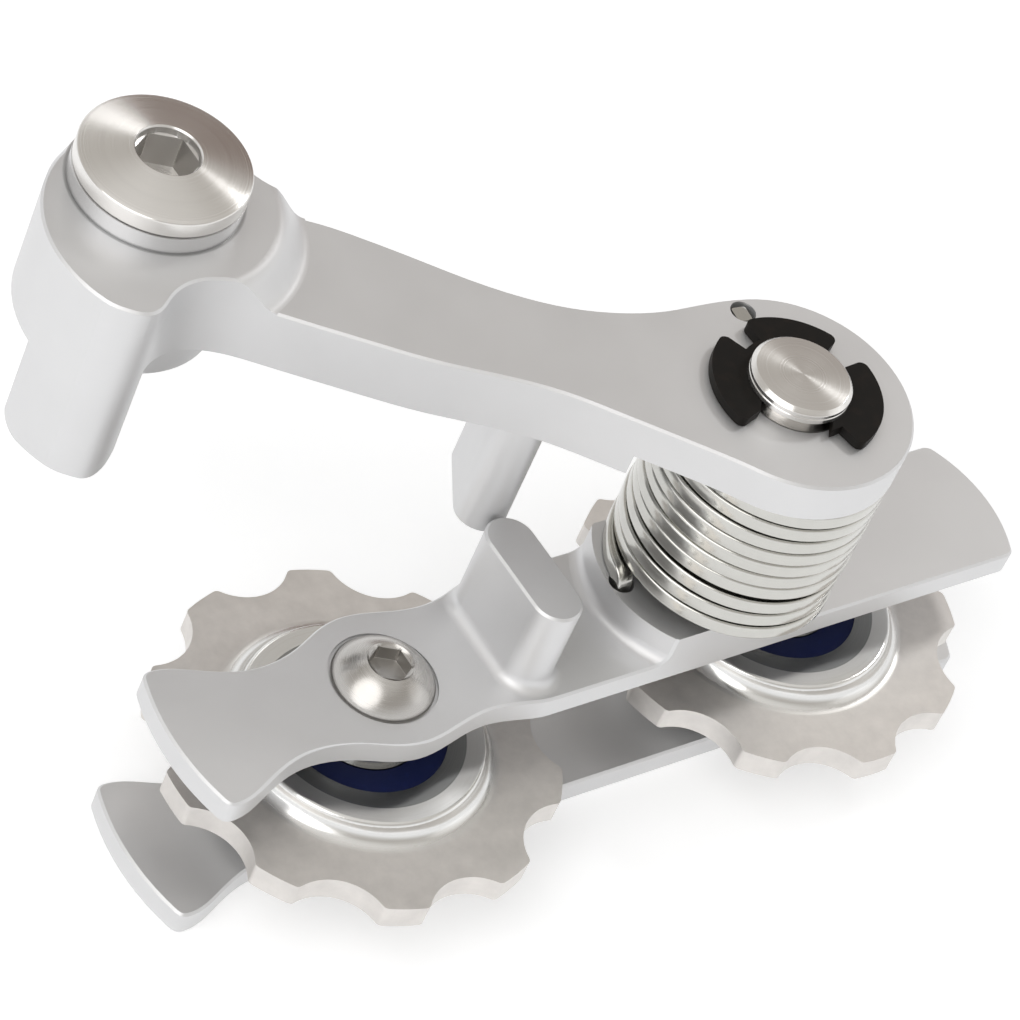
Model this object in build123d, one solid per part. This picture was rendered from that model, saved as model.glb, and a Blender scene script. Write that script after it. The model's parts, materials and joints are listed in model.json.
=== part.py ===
from build123d import *
from math import atan2, cos, degrees, hypot, pi, radians, sin, sqrt
import os

os.makedirs("parts", exist_ok=True)

# Frame: millimetres. Z runs up the hanger bolt, towards its head. The origin is on the
# hanger bolt's axis in the face where its shoulder meets the hanger. X runs along the cage.

# Cage and wheel layout
WHEEL_SPACING = 55.0      # tension wheel axis to guide wheel axis
PIVOT_X = 40.5            # tension wheel axis to cage pivot axis
ARM_X = 53.6              # hanger bolt axis to cage pivot axis, along X
ARM_Y = -41.3             # hanger bolt axis to cage pivot axis, along Y
CAGE_GAP = 15.0           # clear space between the two cage plates
PLATE_T = 3.0             # cage plate thickness
PLATE_TOP_Z = -14.65      # outer face of the outer cage plate
PLATE_HALF = 8.25         # half width of the straight part of a plate
PLATE_LEFT = 25.25        # left end of a plate, from the tension wheel axis
PLATE_RIGHT = 26.9        # right end of a plate, from the guide wheel axis
END_R_LEFT = 27.4         # radius of the flared left end
END_R_RIGHT = 16.7        # radius of the right end
CORNER_R = 1.3            # rounding of a plate's four corners
EDGE = 0.25               # small bright edge chamfer on the machined pieces

# Spring seat and stop block on the outer plate
SEAT_R = 12.7
SEAT_H = 3.8
BLOCK_X = 15.4            # block centre, from the tension wheel axis
BLOCK_R = 2.8             # half thickness, also its end radius
BLOCK_Y0 = -6.4
BLOCK_Y1 = 7.8
BLOCK_H = 10.75
FOOT_FILLET = 1.3         # fillet round the feet of the seat and the block

# Arm
ARM_TOP_Z = 15.3
ARM_T = 7.4               # thickness of the arm's middle
END_T = 4.6               # thickness of the thin pivot end
END_R = 13.0              # radius of the pivot end
RELIEF_R = 18.3           # radius of the spring relief under the pivot end
COLLAR_R = 8.4            # collar round the pivot bush, inside the spring
COLLAR_H = 5.8
BUSH_LIP = 1.2            # rim of the arm that covers the pivot bush
SHELF_H = 3.0             # step from the arm's top up to the boss shelf
SHELF_R = 12.5            # radius where that step begins
SHELF_RUN = 4.2           # how far out it falls
SHELF_SHIFT = 0.8         # the step's centre, from the bolt's axis towards the near side
BOSS_R = 10.4
BOSS_TAPER = 1.0          # the boss's rim draws in this much beside the shelf
BOSS_BOTTOM_Z = 2.7
RING_R = 9.0              # raised ring under the bolt head
RING_H = 2.0
WALL_R = 14.3             # round outer wall of the boss block and the leg
WALL_DROP = 5.7           # that wall's centre, below the hanger bolt's axis
WALL_BOTTOM_Z = 6.2       # underside of the wall beside the leg
LEG_LEFT = 6.3            # leg's sides, from the line through its middle
LEG_RIGHT = 5.2
LEG_BOTTOM_Z = -5.5
LEG_CORNER = 2.3
POST_BOTTOM_Z = -6.5
POST_LEN = 6.7            # length of the stop rib between its end centres
STOP_GAP = 0.3            # free play left between rib and block at rest

# Pivots
RUN = 0.05                # radial running clearance
BUSH_WALL = 1.1
BOLT_SHANK_R = 6.0
THREAD_R = 5.0            # M10 hanger thread
THREAD_LEN = 10.0
HEAD_R = 8.95
HEAD_H = 3.15
HEAD_CONE = 1.1           # height of the head's shallow cone
HEX_AF = 6.0
SOCKET_R = 3.5
SOCKET_DEPTH = 5.0
PIN_R = 5.45
PIN_SPIGOT_R = 4.5
PIN_HEAD_H = 1.55         # pin above its clip
CLIP_T = 1.1
CLIP_DEPTH = 1.1          # groove depth
CLIP_PLAY = 0.05
CLIP_R = 9.2              # outer radius of the pin's clip; the bolt's is larger with its shank
CLIP_RING_R = 6.4         # ring between the clip's lobes
LOBE_CORNER = 0.8         # rounding of the lobes' ends

# Torsion spring
WIRE_W = 1.9              # radial
WIRE_T = 1.72             # axial
SPRING_R = 11.2           # centre of the wire
TANG_LOW = 178.0          # angle of the lower tang, seen from above
TANG_HIGH = 83.5
TURNS = 10
GAP_TURN = 3.1            # where the coils stand a little open
TANG_R = 1.4              # radius of the tang holes
TANG_PINCH = 0.1          # the bent wire draws in this much at each side

# Wheels, 10 teeth for 12.7 mm chain
TEETH = 10
TIP_R = 21.95
VALLEY_R = 19.35
TOOTH_HALF_DEG = 6.3
TOOTH_T = 2.8
TIP_CORNER = 0.7          # rounding of the tooth tips
HUB_R = 13.2
HUB_FILLET = 1.9
TENSION_PHASE = 107.5
GUIDE_PHASE = 16.6

# Bearings, 8 x 22 x 7
BRG_OD_R = 11.0
BRG_ID_R = 4.0
BRG_W = 7.0
BALLS = 7
BALL_R = 1.985
BALL_PITCH_R = 7.5
RACE_GAP = 0.06
SEAL_T = 0.5
SEAL_INSET = 0.15
SEAL_R = 9.8

# Wheel bolts, M6
M6_R = 3.0
BUTTON_R = 5.5
BUTTON_H = 3.1
BUTTON_RIM = 0.45         # height of the head's straight rim
BUTTON_FLAT_R = 2.5       # where its dome ends round the socket
BUTTON_HEX_AF = 4.0
BUTTON_RECESS = 0.4
BUTTON_LEN = 20.0
SPACER_R = 5.6

# Derived places
SEAT_Z = PLATE_TOP_Z + SEAT_H
OUTER_LOW_Z = PLATE_TOP_Z - PLATE_T
INNER_TOP_Z = OUTER_LOW_Z - CAGE_GAP
INNER_LOW_Z = INNER_TOP_Z - PLATE_T
WHEEL_Z = OUTER_LOW_Z - CAGE_GAP / 2
SPACER_H = (CAGE_GAP - BRG_W) / 2
TENSION = Vector(ARM_X - PIVOT_X, ARM_Y)
PIVOT = Vector(ARM_X, ARM_Y)
GUIDE = TENSION + Vector(WHEEL_SPACING, 0)
ARM_LEN = sqrt(ARM_X**2 + ARM_Y**2)
ARM_DEG = degrees(atan2(ARM_Y, ARM_X))
END_LOW_Z = ARM_TOP_Z - END_T
ARM_LOW_Z = ARM_TOP_Z - ARM_T
SHELF_Z = ARM_TOP_Z + SHELF_H
RING_Z = SHELF_Z + RING_H
HEAD_Z = RING_Z + CLIP_PLAY
BOLT_CLIP_Z = BOSS_BOTTOM_Z - CLIP_PLAY - CLIP_T
PIN_CLIP_Z = ARM_TOP_Z + CLIP_PLAY
PIN_TOP_Z = PIN_CLIP_Z + CLIP_T + PIN_HEAD_H


def at(point, z=0.0):
    return Pos(point.X, point.Y, z)


def disc(radius, low, high, point=Vector(0, 0)):
    """Upright cylinder between two heights."""
    return at(point, (low + high) / 2) * Cylinder(radius, high - low)


def turned(profile, point=Vector(0, 0), z=0.0):
    """Revolve (radius, height) points round an upright axis."""
    face = Plane.XZ * make_face(Polyline(*profile, close=True))
    return at(point, z) * revolve(face, Axis.Z)


def prism(edges, low, high, rounding=0, corners=()):
    """Extrude a closed set of edges between two heights, its corners rounded on request."""
    face = make_face(edges)
    found = [v for v in face.vertices() for c in corners if (Vector(v.X, v.Y) - c).length < 0.01]
    if found:
        face = fillet(found, rounding)
    return Pos(0, 0, low) * extrude(face, high - low)


def top_rim(solid, z, radius, point=Vector(0, 0)):
    """Circular edges of one radius at one height round a point."""
    found = []
    for edge in solid.edges().filter_by(GeomType.CIRCLE):
        middle = edge.arc_center
        near = abs(middle.X - point.X) + abs(middle.Y - point.Y) + abs(middle.Z - z)
        if near < 0.02 and abs(edge.radius - radius) < 0.02:
            found.append(edge)
    return found


def flow(points, leave, arrive):
    """Smooth curve through points, with its direction given at both ends."""
    ends = [leave.normalized(), arrive.normalized()]
    return Spline(*points, tangents=ends, tangent_scalars=[1, 1])


def slot(a, b, radius, low, high):
    """Round-ended bar between two plan points."""
    along = (b - a).normalized()
    side = Vector(-along.Y, along.X) * radius
    edges = [
        Line(a - side, b - side),
        ThreePointArc(b - side, b + along * radius, b + side),
        Line(b + side, a + side),
        ThreePointArc(a + side, a - along * radius, a - side),
    ]
    return prism(edges, low, high)


# Arm


def arm_point(along, across):
    """Plan point from its distance along the arm's line and across it."""
    scale = ARM_LEN / 67.66
    a = radians(ARM_DEG)
    s = along * scale
    return Vector(s * cos(a) - across * sin(a), s * sin(a) + across * cos(a))


def wall_point(x, y):
    """Plan point of the boss block, which follows the size of its round wall."""
    return Vector(x, y) * (WALL_R / 14.3)


def arm_outline():
    """Closed outline of the boss block and the arm: leg, hollow, near side, pivot end, far side."""
    hollow = [(-11.2, -13.9), (-9.3, -14.9), (-7.7, -14.6), (-5.9, -13.4), (-3.8, -12.5), (-1.7, -12.35)]
    near = [(8.2, -9.95), (10.2, -9.55), (15.1, -9.55), (23.0, -9.8), (31.0, -9.9), (38.8, -9.3),
            (44.2, -9.3), (50.0, -10.1), (57.0, -11.2)]
    far = [(57.9, 9.4), (53.8, 6.7), (48.6, 4.4), (43.2, 3.1), (37.8, 2.8), (32.4, 3.2), (27.0, 4.0),
           (21.6, 4.7), (16.6, 5.0), (13.2, 4.9), (10.6, 5.5), (8.4, 6.8), (5.6, 8.4), (2.0, 9.1)]
    middle = Vector(0, -WALL_DROP)
    wall = [middle + Vector(cos(radians(a)), sin(radians(a))) * WALL_R for a in (106, 156, 206)]
    low_turn = radians(ARM_DEG - 104)
    high_turn = radians(ARM_DEG + 114)
    start = PIVOT + Vector(cos(low_turn), sin(low_turn)) * END_R
    end = PIVOT + Vector(cos(high_turn), sin(high_turn)) * END_R
    nose = PIVOT + Vector(cos(radians(ARM_DEG)), sin(radians(ARM_DEG))) * END_R
    near_points = [wall[2]] + [wall_point(*p) for p in hollow] + [arm_point(*p) for p in near] + [start]
    far_points = [end] + [arm_point(*p) for p in far]
    round_wall = ThreePointArc(*wall)
    near_edge = flow(near_points, round_wall % 1, Vector(-sin(low_turn), cos(low_turn)))
    far_edge = flow(far_points, Vector(-sin(high_turn), cos(high_turn)), far_points[-1] - far_points[-2])
    back = Polyline(far_points[-1], Vector(0, 0), wall[0])
    return [round_wall, near_edge, ThreePointArc(start, nose, end), far_edge, back]


def boss():
    """Boss cylinder, drawn in a little where it stands above the arm."""
    profile = [(0, BOSS_BOTTOM_Z), (BOSS_R, BOSS_BOTTOM_Z), (BOSS_R, ARM_TOP_Z),
               (BOSS_R - BOSS_TAPER, SHELF_Z), (0, SHELF_Z)]
    return turned(profile)


def block(low):
    """The outline raised to the shelf's height, with its bright edge."""
    return bevelled(prism(arm_outline(), low, SHELF_Z), SHELF_Z)


def outer_wall(left, low, corner):
    """Part of the outline's round wall between the leg's right side and a left limit."""
    tall = SHELF_Z - low
    outward = Plane(origin=(0, 0, low + tall), x_dir=(1, -1, 0), z_dir=(-1, -1, 0))
    window = Pos((LEG_RIGHT - left) / 2, 0, 0) * RectangleRounded(LEG_RIGHT + left, 2 * tall, corner)
    return block(low) & (outward * extrude(window, 2 * WALL_R))


def leg():
    """Hanger stop hanging below the boss, hollow towards the bolt, with rounded lower corners."""
    return outer_wall(LEG_LEFT, LEG_BOTTOM_Z, LEG_CORNER) - disc(BOSS_R + 0.5, LEG_BOTTOM_Z - 1, ARM_LOW_Z)


def shelf_cut():
    """Lowers the arm's top from the boss shelf in a smooth double curve."""
    far = ARM_LEN + 2 * END_R
    start = Vector(SHELF_R, SHELF_Z)
    foot = Vector(SHELF_R + SHELF_RUN, ARM_TOP_Z)
    edges = [
        flow([start, foot], Vector(1, 0), Vector(1, 0)),
        Polyline(foot, (far, ARM_TOP_Z), (far, SHELF_Z + 1), (SHELF_R, SHELF_Z + 1), start),
    ]
    turn = Rot(0, 0, -98) * revolve(Plane.XZ * make_face(edges), Axis.Z, 196)
    return at(arm_point(0, -SHELF_SHIFT)) * turn


def stop_points():
    """End centres of the arm's stop rib: the first stands by the cage's block."""
    reach = 2 * BLOCK_R + STOP_GAP
    lean = 0.7
    block_end = Vector(TENSION.X + BLOCK_X, TENSION.Y + BLOCK_Y1 - BLOCK_R)
    first = block_end + Vector(lean, sqrt(reach**2 - lean**2))
    second = first + Vector(cos(radians(58)), sin(radians(58))) * POST_LEN
    return first, second


def arm():
    bar = prism(arm_outline(), ARM_LOW_Z, ARM_TOP_Z)
    bar = bevelled(bevelled(bar, ARM_TOP_Z), ARM_LOW_Z)
    middle = arm_point(0, -SHELF_SHIFT)
    step = block(ARM_TOP_Z - 2 * EDGE) & disc(SHELF_R + SHELF_RUN, ARM_LOW_Z, SHELF_Z, middle)
    body = bar + step + boss() + outer_wall(2 * BOSS_R, WALL_BOTTOM_Z, EDGE) + leg()
    body -= shelf_cut()
    body -= disc(RELIEF_R, ARM_LOW_Z - 5, END_LOW_Z, PIVOT)
    first, second = stop_points()
    body += slot(first, second, BLOCK_R, POST_BOTTOM_Z, ARM_LOW_Z + 1)
    body += disc(RING_R, SHELF_Z - 1, RING_Z)
    body += disc(COLLAR_R, END_LOW_Z - COLLAR_H, END_LOW_Z + 1, PIVOT)
    body -= disc(BOLT_SHANK_R + RUN + BUSH_WALL, LEG_BOTTOM_Z, RING_Z + 1)
    body -= disc(PIN_R + RUN + BUSH_WALL, END_LOW_Z - COLLAR_H - 1, ARM_TOP_Z - BUSH_LIP, PIVOT)
    body -= disc(PIN_R + 2 * RUN, END_LOW_Z, SHELF_Z, PIVOT)
    hole = PIVOT + Vector(cos(radians(TANG_HIGH)), sin(radians(TANG_HIGH))) * SPRING_R
    body -= disc(TANG_R, END_LOW_Z - 1, SHELF_Z, hole)
    return body


# Pivots


def bush(radius, low, high, point):
    """Plain bearing sleeve pressed into the arm."""
    sleeve = disc(radius + RUN + BUSH_WALL, low, high, point)
    return sleeve - disc(radius + RUN, low - 1, high + 1, point)


def hex_socket(across, depth, top, point):
    """Hexagon recess going down from a height."""
    hexagon = RegularPolygon(across / 2, 6, major_radius=False)
    return at(point, top - depth) * extrude(hexagon, depth)


def hanger_bolt():
    top = HEAD_Z + HEAD_H
    rim = top - HEAD_CONE
    floor = BOLT_SHANK_R - CLIP_DEPTH
    profile = [
        (0, -THREAD_LEN), (THREAD_R - 1, -THREAD_LEN), (THREAD_R, -THREAD_LEN + 1), (THREAD_R, 0),
        (BOLT_SHANK_R, 0), (BOLT_SHANK_R, BOLT_CLIP_Z), (floor, BOLT_CLIP_Z),
        (floor, BOLT_CLIP_Z + CLIP_T), (BOLT_SHANK_R, BOLT_CLIP_Z + CLIP_T), (BOLT_SHANK_R, HEAD_Z),
        (HEAD_R - 0.5, HEAD_Z), (HEAD_R - 0.12, HEAD_Z + 0.2), (HEAD_R, HEAD_Z + 0.6),
        (HEAD_R, rim - 0.7), (HEAD_R - 0.1, rim - 0.3), (HEAD_R - 0.35, rim),
        (SOCKET_R, top), (0, top),
    ]
    body = turned(profile)
    body -= disc(HEX_AF / 2 * 1.1, top - 1.0, top + 1)
    body -= hex_socket(HEX_AF, SOCKET_DEPTH, top, Vector(0, 0))
    return body


def pivot_pin():
    floor = PIN_R - CLIP_DEPTH
    profile = [
        (0, OUTER_LOW_Z), (PIN_SPIGOT_R, OUTER_LOW_Z), (PIN_SPIGOT_R, SEAT_Z), (PIN_R, SEAT_Z),
        (PIN_R, PIN_CLIP_Z), (floor, PIN_CLIP_Z), (floor, PIN_CLIP_Z + CLIP_T), (PIN_R, PIN_CLIP_Z + CLIP_T),
        (PIN_R, PIN_TOP_Z - 0.5), (PIN_R - 0.5, PIN_TOP_Z), (0, PIN_TOP_Z),
    ]
    return turned(profile, PIVOT)


def sector(radius, start, stop, low, high):
    """Wedge of a disc between two angles."""
    mid = radians((start + stop) / 2)
    a, b = radians(start), radians(stop)
    first = Vector(cos(a), sin(a)) * radius
    last = Vector(cos(b), sin(b)) * radius
    edges = [
        ThreePointArc(first, Vector(cos(mid), sin(mid)) * radius, last),
        Polyline(last, (0, 0), first),
    ]
    return prism(edges, low, high)


def lobed_clip(shaft_r, low, point, turn):
    """Three-lobed open retaining clip that sits on a groove's floor."""
    inner = shaft_r - CLIP_DEPTH
    ring_r = shaft_r + CLIP_RING_R - PIN_R
    lobe_r = shaft_r + CLIP_R - PIN_R
    high = low + CLIP_T
    body = disc(ring_r, low, high)
    for start, stop in ((26, 93), (115, 196), (-79, 4)):
        body += sector(lobe_r, start, stop, low, high)
    ends = []
    for edge in body.edges().filter_by(Axis.Z):
        if hypot(edge.center().X, edge.center().Y) > lobe_r - 0.1:
            ends.append(edge)
    body = fillet(ends, LOBE_CORNER)
    body -= disc(inner, low - 1, high + 1)
    mouth = Pos(lobe_r / 2, 0, low + CLIP_T / 2) * Box(lobe_r, 1.75 * inner, 3 * CLIP_T)
    body -= Rot(0, 0, -128) * mouth
    return at(point) * Rot(0, 0, turn) * body


# Spring


def spring_angle(step, steps):
    total = 360.0 * TURNS + (TANG_LOW - TANG_HIGH)
    return TANG_LOW - total * step / steps, total * step / steps / 360.0


def spring_height(turn, turns, low, high):
    """Height of the wire's middle: even turns with one small open place."""
    opening = 0.55
    part = (high - low - opening) * turn / turns
    blend = min(max((turn - GAP_TURN + 0.35) / 0.7, 0.0), 1.0)
    return low + part + opening * blend


def torsion_spring():
    low = SEAT_Z + WIRE_T / 2 + 0.1
    high = END_LOW_Z - WIRE_T / 2 - 0.1
    steps = 24 * TURNS
    rows = []
    for i in range(steps + 1):
        angle, turn = spring_angle(i, steps)
        turns = TURNS + (TANG_LOW - TANG_HIGH) / 360.0
        a = radians(angle)
        rows.append((cos(a) * SPRING_R, sin(a) * SPRING_R, spring_height(turn, turns, low, high)))
    path = Spline(*rows)
    start = path @ 0
    frame = Plane(origin=start, x_dir=Vector(start.X, start.Y, 0).normalized(), z_dir=path % 0)
    section = frame * Rectangle(WIRE_W, WIRE_T)
    coil = sweep(section, path, is_frenet=True)
    bent = WIRE_W - 2 * TANG_PINCH
    low_tang = Rot(0, 0, TANG_LOW) * Pos(SPRING_R, 0, low - 1.6) * Box(bent, WIRE_T, 3.2 + WIRE_T / 2)
    high_tang = Rot(0, 0, TANG_HIGH) * Pos(SPRING_R, 0, high + 2.1) * Box(bent, WIRE_T, 4.2 + WIRE_T / 2)
    return at(PIVOT) * (coil + low_tang + high_tang)


# Cage


def plate_prism(low, high):
    """Outline shared by both cage plates, extruded, with rounded corners."""
    upper = [(-23.7, 8.5), (-22.3, 8.75), (-19.6, 8.0), (-16.0, 6.45), (-12.4, 5.6), (-9.0, 5.8),
             (-6.2, 6.6), (-3.2, 7.85), (0.2, 8.5), (3.4, 8.1), (6.5, 7.4), (9.8, 7.15),
             (13.0, 7.7), (16.5, PLATE_HALF)]
    left_mid = END_R_LEFT - PLATE_LEFT
    right_mid = WHEEL_SPACING + PLATE_RIGHT - END_R_RIGHT
    corner_y = 7.6
    left_x = left_mid - sqrt(END_R_LEFT**2 - corner_y**2)
    right_x = right_mid + sqrt(END_R_RIGHT**2 - PLATE_HALF**2)
    edges = []
    corners = []
    for sign in (1, -1):
        corner = Vector(left_x, sign * corner_y) + TENSION
        points = [corner] + [Vector(x, sign * y) + TENSION for x, y in upper]
        square = Vector(right_x, sign * PLATE_HALF) + TENSION
        edges.append(flow(points, Vector(0.28, sign), Vector(1, 0)))
        edges.append(Line(points[-1], square))
        corners += [corner, square]
    for x, y, end in ((left_x, corner_y, -PLATE_LEFT), (right_x, PLATE_HALF, WHEEL_SPACING + PLATE_RIGHT)):
        tip = Vector(end, 0) + TENSION
        edges.append(ThreePointArc(Vector(x, y) + TENSION, tip, Vector(x, -y) + TENSION))
    return prism(edges, low, high, CORNER_R, corners)


def bevelled(solid, height):
    """Small bright chamfer round the flat faces at one height."""
    edges = []
    for face in solid.faces().filter_by(Axis.Z):
        if abs(face.center().Z - height) < 0.01:
            edges += face.outer_wire().edges()
    return chamfer(edges, EDGE)


def outer_cage_plate():
    slab = at(TENSION + Vector(WHEEL_SPACING / 2, 0), (OUTER_LOW_Z + PLATE_TOP_Z) / 2)
    body = slab * Box(3 * WHEEL_SPACING, 5 * SEAT_R, PLATE_T)
    body += disc(SEAT_R, PLATE_TOP_Z - 1, SEAT_Z, PIVOT)
    a = TENSION + Vector(BLOCK_X, BLOCK_Y0 + BLOCK_R)
    b = TENSION + Vector(BLOCK_X, BLOCK_Y1 - BLOCK_R)
    body += bevelled(slot(a, b, BLOCK_R, PLATE_TOP_Z - 1, PLATE_TOP_Z + BLOCK_H), PLATE_TOP_Z + BLOCK_H)
    feet = []
    for face in body.faces().filter_by(Axis.Z):
        if abs(face.center().Z - PLATE_TOP_Z) < 0.01:
            feet += [edge for wire in face.inner_wires() for edge in wire.edges()]
    body = fillet(feet, FOOT_FILLET)
    outline = bevelled(plate_prism(OUTER_LOW_Z, PLATE_TOP_Z + 2 * BLOCK_H), OUTER_LOW_Z)
    body &= outline
    rims = []
    for edge in body.edges():
        flat = abs(edge.center().Z - PLATE_TOP_Z) < 0.01 and edge.bounding_box().size.Z < 0.01
        across = abs(edge.center().Y - TENSION.Y)
        side = edge.geom_type == GeomType.LINE and abs(across - PLATE_HALF) < 0.01
        end = edge.geom_type == GeomType.CIRCLE and edge.radius > SEAT_R + 2 * FOOT_FILLET
        corner = edge.geom_type == GeomType.CIRCLE and abs(edge.radius - CORNER_R) < 0.01
        if flat and (side or end or corner or edge.geom_type == GeomType.BSPLINE):
            rims.append(edge)
    body = chamfer(rims, EDGE)
    body -= disc(BUTTON_R + 0.35, PLATE_TOP_Z - BUTTON_RECESS, PLATE_TOP_Z + 1, TENSION)
    body -= disc(M6_R, OUTER_LOW_Z - 1, PLATE_TOP_Z + 1, TENSION)
    body -= disc(M6_R, OUTER_LOW_Z - 1, SEAT_Z + 1, GUIDE)
    body -= disc(PIN_SPIGOT_R, OUTER_LOW_Z - 1, SEAT_Z + 1, PIVOT)
    hole = PIVOT + Vector(cos(radians(TANG_LOW)), sin(radians(TANG_LOW))) * SPRING_R
    body -= disc(TANG_R, PLATE_TOP_Z, SEAT_Z + 1, hole)
    return body


def inner_cage_plate():
    body = plate_prism(INNER_LOW_Z, INNER_TOP_Z)
    body = bevelled(bevelled(body, INNER_TOP_Z), INNER_LOW_Z)
    for point in (TENSION, GUIDE):
        body -= disc(M6_R, INNER_LOW_Z - 1, INNER_TOP_Z + 1, point)
    body -= disc(BUTTON_R + 0.35, INNER_LOW_Z - 1, INNER_LOW_Z + BUTTON_RECESS, GUIDE)
    return body


# Wheels


def tooth_ring(phase):
    """Flat ring with scooped valleys and round-cornered tips."""
    edges = []
    tips = []
    step = 360.0 / TEETH
    for k in range(TEETH):
        middle = phase + k * step
        a, b = radians(middle - TOOTH_HALF_DEG), radians(middle + TOOTH_HALF_DEG)
        c, m = radians(middle + step - TOOTH_HALF_DEG), radians(middle + step / 2)
        t = radians(middle)
        tip_a = Vector(cos(a), sin(a)) * TIP_R
        tip_b = Vector(cos(b), sin(b)) * TIP_R
        valley = Vector(cos(m), sin(m)) * VALLEY_R
        edges.append(ThreePointArc(tip_a, Vector(cos(t), sin(t)) * TIP_R, tip_b))
        edges.append(ThreePointArc(tip_b, valley, Vector(cos(c), sin(c)) * TIP_R))
        tips += [tip_a, tip_b]
    return prism(edges, -TOOTH_T / 2, TOOTH_T / 2, TIP_CORNER, tips)


def wheel(point, phase):
    body = tooth_ring(phase) + disc(HUB_R, -BRG_W / 2, BRG_W / 2)
    feet = top_rim(body, TOOTH_T / 2, HUB_R) + top_rim(body, -TOOTH_T / 2, HUB_R)
    body = fillet(feet, HUB_FILLET)
    rims = top_rim(body, BRG_W / 2, HUB_R) + top_rim(body, -BRG_W / 2, HUB_R)
    body = fillet(rims, 0.5)
    body -= disc(BRG_OD_R, -BRG_W, BRG_W)
    return at(point, WHEEL_Z) * body


def race_ring(inner, outer, point):
    """Bearing ring with its ball groove."""
    ring = disc(outer, -BRG_W / 2, BRG_W / 2) - disc(inner, -BRG_W, BRG_W)
    ring -= Torus(BALL_PITCH_R, BALL_R + RACE_GAP)
    return at(point, WHEEL_Z) * ring


def outer_ring(point):
    body = race_ring(BALL_PITCH_R + 1.5, BRG_OD_R, Vector(0, 0))
    high = BRG_W / 2 - SEAL_INSET
    for low, top in ((high - SEAL_T, high), (-high, -high + SEAL_T)):
        body -= disc(SEAL_R, WHEEL_Z + low, WHEEL_Z + top)
    return at(point) * body


def inner_ring(point):
    return race_ring(BRG_ID_R, BALL_PITCH_R - 1.45, point)


def seal(point, side):
    """Thin sealing disc held in the outer ring's groove."""
    middle = side * (BRG_W / 2 - SEAL_INSET - SEAL_T / 2)
    low, high = middle - SEAL_T / 2, middle + SEAL_T / 2
    body = disc(SEAL_R, low, high) - disc(BALL_PITCH_R - 1.38, low - 1, high + 1)
    return at(point, WHEEL_Z) * body


def ball_set(point):
    balls = []
    for k in range(BALLS):
        a = 2 * pi * k / BALLS
        place = point + Vector(cos(a), sin(a)) * BALL_PITCH_R
        balls.append(at(place, WHEEL_Z) * Sphere(BALL_R))
    return Compound(children=balls)


def ball_cage(point):
    """Ring that keeps the balls apart."""
    tall = BRG_W / 2 - SEAL_INSET - SEAL_T - 0.3
    body = disc(BALL_PITCH_R + 0.55, -tall, tall) - disc(BALL_PITCH_R - 0.55, -BRG_W, BRG_W)
    pocket = Pos(BALL_PITCH_R, 0, 0) * Rot(0, 90, 0) * Cylinder(BALL_R + RUN, BALL_R)
    for k in range(BALLS):
        body -= Rot(0, 0, 360.0 * k / BALLS) * pocket
    return at(point, WHEEL_Z) * body


def spacer(point, side):
    """Stepped spacer: a collar beside the bearing and a sleeve in its bore."""
    face = BRG_W / 2
    sleeve = BRG_W / 2 - 0.1
    lows = (face - sleeve, face + SPACER_H)
    body = disc(SPACER_R, face, face + SPACER_H) + disc(BRG_ID_R, lows[0], lows[1])
    body -= disc(M6_R, lows[0] - 1, lows[1] + 1)
    if side < 0:
        body = Rot(180, 0, 0) * body
    return at(point, WHEEL_Z) * body


def button_bolt():
    """Button head bolt standing on its head's bearing face, shank downwards."""
    tip = M6_R - 0.6
    shank = turned([(0, -BUTTON_LEN), (tip, -BUTTON_LEN), (M6_R, -BUTTON_LEN + 0.6), (M6_R, 0), (0, 0)])
    wide = BUTTON_R**2 + BUTTON_RIM**2
    narrow = BUTTON_FLAT_R**2 + BUTTON_H**2
    middle = (narrow - wide) / (BUTTON_H - BUTTON_RIM) / 2
    dome = Pos(0, 0, middle) * Sphere(hypot(BUTTON_R, BUTTON_RIM - middle))
    head = disc(BUTTON_R, 0, BUTTON_H) & dome
    return shank + head - hex_socket(BUTTON_HEX_AF, 2.0, BUTTON_H, Vector(0, 0))


def tension_bolt():
    return at(TENSION, PLATE_TOP_Z - BUTTON_RECESS) * button_bolt()


def guide_bolt():
    return at(GUIDE, INNER_LOW_Z + BUTTON_RECESS) * Rot(180, 0, 0) * button_bolt()


# Output


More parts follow.
